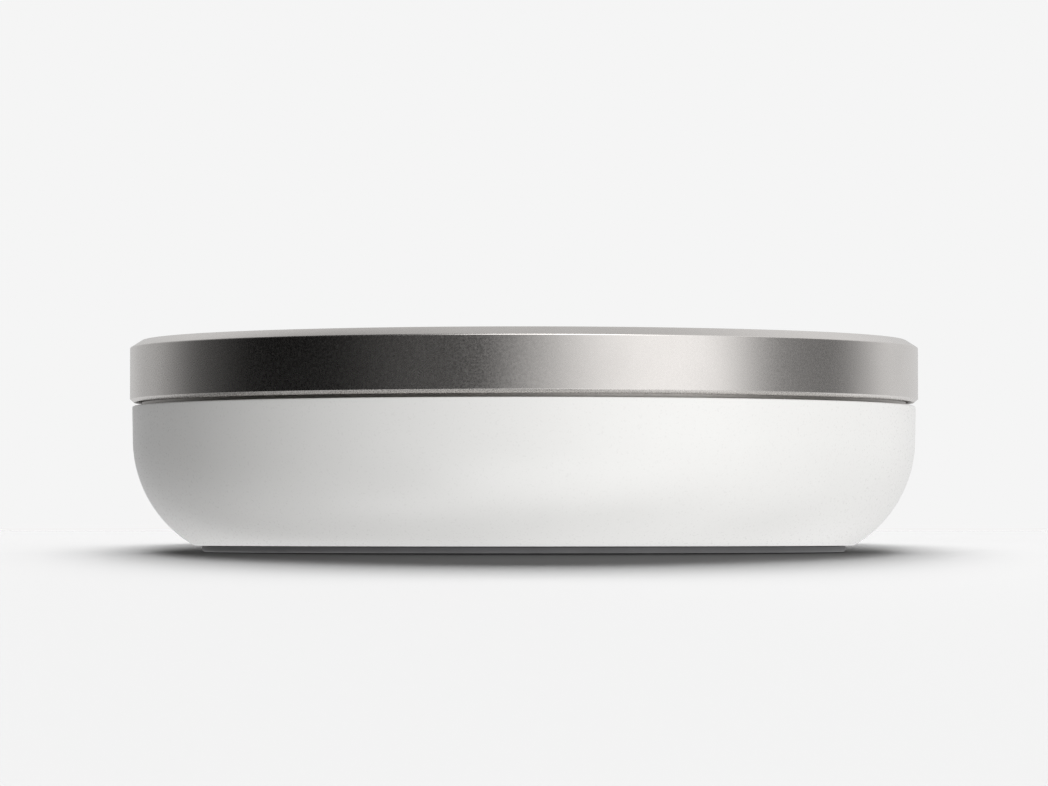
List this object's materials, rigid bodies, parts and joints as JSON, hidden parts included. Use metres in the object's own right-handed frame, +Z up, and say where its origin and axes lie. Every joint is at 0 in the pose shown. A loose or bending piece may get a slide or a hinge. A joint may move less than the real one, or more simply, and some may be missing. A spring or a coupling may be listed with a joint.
{
  "type": "streaming media player",
  "caption": "Low round tabletop media player: white bowl-shaped shell on a thin rubber foot, bevelled metal band, inset top plate with travelling keys, sockets in a rear recess.",
  "frame": {"origin": "centre of the rubber foot's underside, on the surface that the player stands on", "axes": "+Z up along the round body's axis, -Y the front, +Y the rear with the socket recess, +X the right side seen from the front"},
  "size_m": [0.136, 0.136, 0.0364],
  "materials": {
    "white_polymer": "satin moulded white, fine spark texture",
    "top_polymer": "satin moulded white",
    "key_polymer": "satin light grey",
    "band_aluminium": "bead-blasted and anodised, warm grey",
    "neck_aluminium": "satin, darker",
    "foot_rubber": "matt dark grey",
    "port_polymer": "fine textured near-black",
    "frame_polymer": "glass-filled, dull",
    "steel": "zinc plated",
    "plated_steel": "nickel or tin plated",
    "heat_sink_aluminium": "extruded, clear anodised",
    "board_laminate": "green solder mask",
    "switch_plastic": "moulded black",
    "pad_silicone": "soft blue-grey",
    "clear_polymer": "frosted clear",
    "flex_film": "amber polyimide film",
    "lead_jacket": "smooth dark jacket"
  },
  "bodies": {
    "housing": {"lower_bowl": "white_polymer", "rubber_foot": "foot_rubber", "trim_ring": "band_aluminium", "neck_ring": "neck_aluminium", "top_plate": "top_polymer", "inner_frame": "frame_polymer", "ballast_plate": "steel", "port_tunnel": "white_polymer", "port_plate": "port_polymer", "key_board": "board_laminate", "play_switch": "plated_steel", "volume_down_switch": "plated_steel", "volume_up_switch": "plated_steel", "status_led": "clear_polymer", "light_pipe": "clear_polymer", "key_flex": "flex_film", "main_board": "board_laminate", "processor_shield": "plated_steel", "thermal_pad": "pad_silicone", "heat_sink": "heat_sink_aluminium", "radio_shield": "plated_steel", "power_inductor": "switch_plastic", "capacitor_1": "switch_plastic", "capacitor_2": "switch_plastic", "antenna_left": "flex_film", "antenna_lead_left": "lead_jacket", "antenna_right": "flex_film", "antenna_lead_right": "lead_jacket", "power_socket": "plated_steel", "power_tongue": "switch_plastic", "video_socket": "plated_steel", "video_tongue": "switch_plastic", "network_socket": "switch_plastic", "audio_jack": "switch_plastic", "pair_switch": "switch_plastic", "case_screw_1": "steel", "case_screw_2": "steel", "case_screw_3": "steel", "case_screw_4": "steel", "board_screw_1": "steel", "board_screw_2": "steel", "board_screw_3": "steel", "board_screw_4": "steel", "key_screw_1": "steel", "key_screw_2": "steel"},
    "play": {"play_key": "key_polymer", "play_plunger": "switch_plastic"},
    "volume_down": {"volume_down_key": "key_polymer", "volume_down_plunger": "switch_plastic"},
    "volume_up": {"volume_up_key": "key_polymer", "volume_up_plunger": "switch_plastic"},
    "pair": {"pair_button": "key_polymer", "pair_plunger": "plated_steel"}
  },
  "joints": [
    {"name": "play_press", "type": "slide", "parent": "housing", "child": "play", "axis": [0, 0, -1], "range_m": [0, 0.0005], "stiffness_N_per_m": 2500, "springref_m": -0.0006},
    {"name": "volume_down_press", "type": "slide", "parent": "housing", "child": "volume_down", "axis": [0, 0, -1], "range_m": [0, 0.0005], "stiffness_N_per_m": 2500, "springref_m": -0.0006},
    {"name": "volume_up_press", "type": "slide", "parent": "housing", "child": "volume_up", "axis": [0, 0, -1], "range_m": [0, 0.0005], "stiffness_N_per_m": 2500, "springref_m": -0.0006},
    {"name": "pair_press", "type": "slide", "parent": "housing", "child": "pair", "axis": [0, -1, 0], "range_m": [0, 0.0005], "stiffness_N_per_m": 2000, "springref_m": -0.0006}
  ]
}
